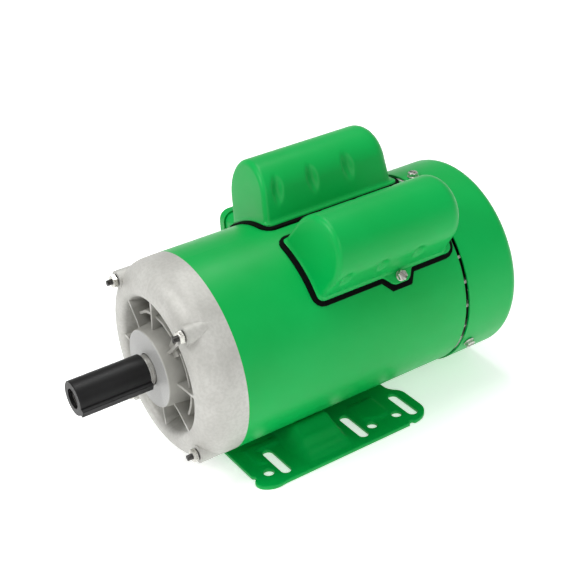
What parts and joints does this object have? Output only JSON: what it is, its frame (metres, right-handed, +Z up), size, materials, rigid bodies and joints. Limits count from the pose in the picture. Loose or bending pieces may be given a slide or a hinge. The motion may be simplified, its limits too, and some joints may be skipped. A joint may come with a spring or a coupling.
{
  "type": "foot-mounted fan-cooled single-phase electric motor",
  "caption": "Foot-mounted enclosed electric motor with ribbed end bell, fan cover, slotted base, humped capacitor covers on top and a sleeved keyed shaft.",
  "frame": {"origin": "centre of the 145T foot-hole rectangle on the mounting plane; the shaft axis is 88.9 mm above it", "axes": "+Z up, -Y towards the drive end along the shaft, +X across the base away from the terminal box"},
  "size_m": [0.2209, 0.3705, 0.2146],
  "materials": {
    "green_paint": "satin",
    "cast_aluminium": "as cast",
    "zinc_steel": "zinc plated",
    "shaft_steel": "turned",
    "bearing_steel": "polished",
    "core_steel": "laminated",
    "rotor_aluminium": "as cast",
    "copper_enamel": "enamelled wire",
    "black_rubber": "matt",
    "black_plastic": "moulded",
    "fan_plastic": "moulded",
    "board_phenolic": "phenolic",
    "cord_white": "lacing cord",
    "capacitor_black": "gloss",
    "capacitor_can": "drawn",
    "stud_brass": "bright",
    "spring_steel": "oiled"
  },
  "bodies": {
    "frame": {"shell": "green_paint", "base_plate": "green_paint", "base_saddle": "green_paint", "drive_end_bell": "cast_aluminium", "rear_end_bell": "cast_aluminium", "fan_cover": "green_paint", "fan_cover_screws": "zinc_steel", "shaft_seal": "black_rubber", "stator_core": "core_steel", "main_winding": "copper_enamel", "start_winding": "copper_enamel", "winding_lacing": "cord_white", "drive_bearing_outer": "bearing_steel", "rear_bearing_outer": "bearing_steel", "wave_spring": "spring_steel", "switch_board": "board_phenolic", "switch_posts": "zinc_steel", "switch_screws": "zinc_steel", "switch_contacts": "stud_brass", "start_capacitor": "capacitor_black", "run_capacitor": "capacitor_can", "lead_grommets": "black_rubber", "cover_screws": "zinc_steel", "start_capacitor_cover": "green_paint", "run_capacitor_cover": "green_paint", "start_cover_gasket": "black_rubber", "run_cover_gasket": "black_rubber", "terminal_box": "green_paint", "conduit_hub": "green_paint", "terminal_box_gasket": "black_rubber", "terminal_box_lid": "green_paint", "lid_screws": "zinc_steel", "terminal_board": "board_phenolic", "terminal_studs": "stud_brass", "ground_screw": "zinc_steel", "through_bolts": "spring_steel", "bolt_nuts": "zinc_steel", "lock_washers": "spring_steel"},
    "rotor": {"shaft": "shaft_steel", "shaft_key": "shaft_steel", "rotor_core": "core_steel", "rotor_cage": "rotor_aluminium", "cooling_fan": "fan_plastic", "fan_clip": "spring_steel", "drive_bearing_inner": "bearing_steel", "rear_bearing_inner": "bearing_steel", "governor_plate": "zinc_steel", "governor_springs": "spring_steel"},
    "sleeve": {"shaft_sleeve": "black_plastic"},
    "drive_ball_train": {"drive_bearing_balls": "bearing_steel", "drive_bearing_cage": "spring_steel"},
    "rear_ball_train": {"rear_bearing_balls": "bearing_steel", "rear_bearing_cage": "spring_steel"},
    "collar": {"governor_collar": "black_plastic"},
    "weight_a": {"governor_weight_a": "zinc_steel"},
    "weight_b": {"governor_weight_b": "zinc_steel"},
    "switch_lever": {"switch_arm": "spring_steel"}
  },
  "joints": [
    {"name": "rotor_spin", "type": "hinge", "parent": "frame", "child": "rotor", "pos_m": [0, 0, 0.0889], "axis": [0, 1, 0], "continuous": true},
    {"name": "drive_cage_spin", "type": "hinge", "parent": "frame", "child": "drive_ball_train", "pos_m": [0, 0, 0.0889], "axis": [0, 1, 0], "continuous": true},
    {"name": "rear_cage_spin", "type": "hinge", "parent": "frame", "child": "rear_ball_train", "pos_m": [0, 0, 0.0889], "axis": [0, 1, 0], "continuous": true},
    {"name": "governor_slide", "type": "slide", "parent": "rotor", "child": "collar", "axis": [0, -1, 0], "range_m": [0, 0.004], "stiffness_N_per_m": 2000, "springref_m": -0.002},
    {"name": "weight_a_swing", "type": "hinge", "parent": "rotor", "child": "weight_a", "pos_m": [0, 0.083, 0.1169], "axis": [1, 0, 0], "range_deg": [0, 15]},
    {"name": "weight_b_swing", "type": "hinge", "parent": "rotor", "child": "weight_b", "pos_m": [0, 0.083, 0.0609], "axis": [-1, 0, 0], "range_deg": [0, 15]},
    {"name": "switch_lever_tilt", "type": "hinge", "parent": "frame", "child": "switch_lever", "pos_m": [0, 0.1026, 0.1329], "axis": [-1, 0, 0], "range_deg": [0, 12]},
    {"name": "sleeve_pull", "type": "slide", "parent": "rotor", "child": "sleeve", "axis": [0, -1, 0], "range_m": [0, 0.065]}
  ],
  "couplings": [
    {"joint": "drive_cage_spin", "follows": "rotor_spin", "ratio": 0.3969},
    {"joint": "rear_cage_spin", "follows": "rotor_spin", "ratio": 0.3818},
    {"joint": "weight_a_swing", "follows": "governor_slide", "rad_per_m": 65},
    {"joint": "weight_b_swing", "follows": "governor_slide", "rad_per_m": 65},
    {"joint": "switch_lever_tilt", "follows": "governor_slide", "rad_per_m": 50}
  ]
}
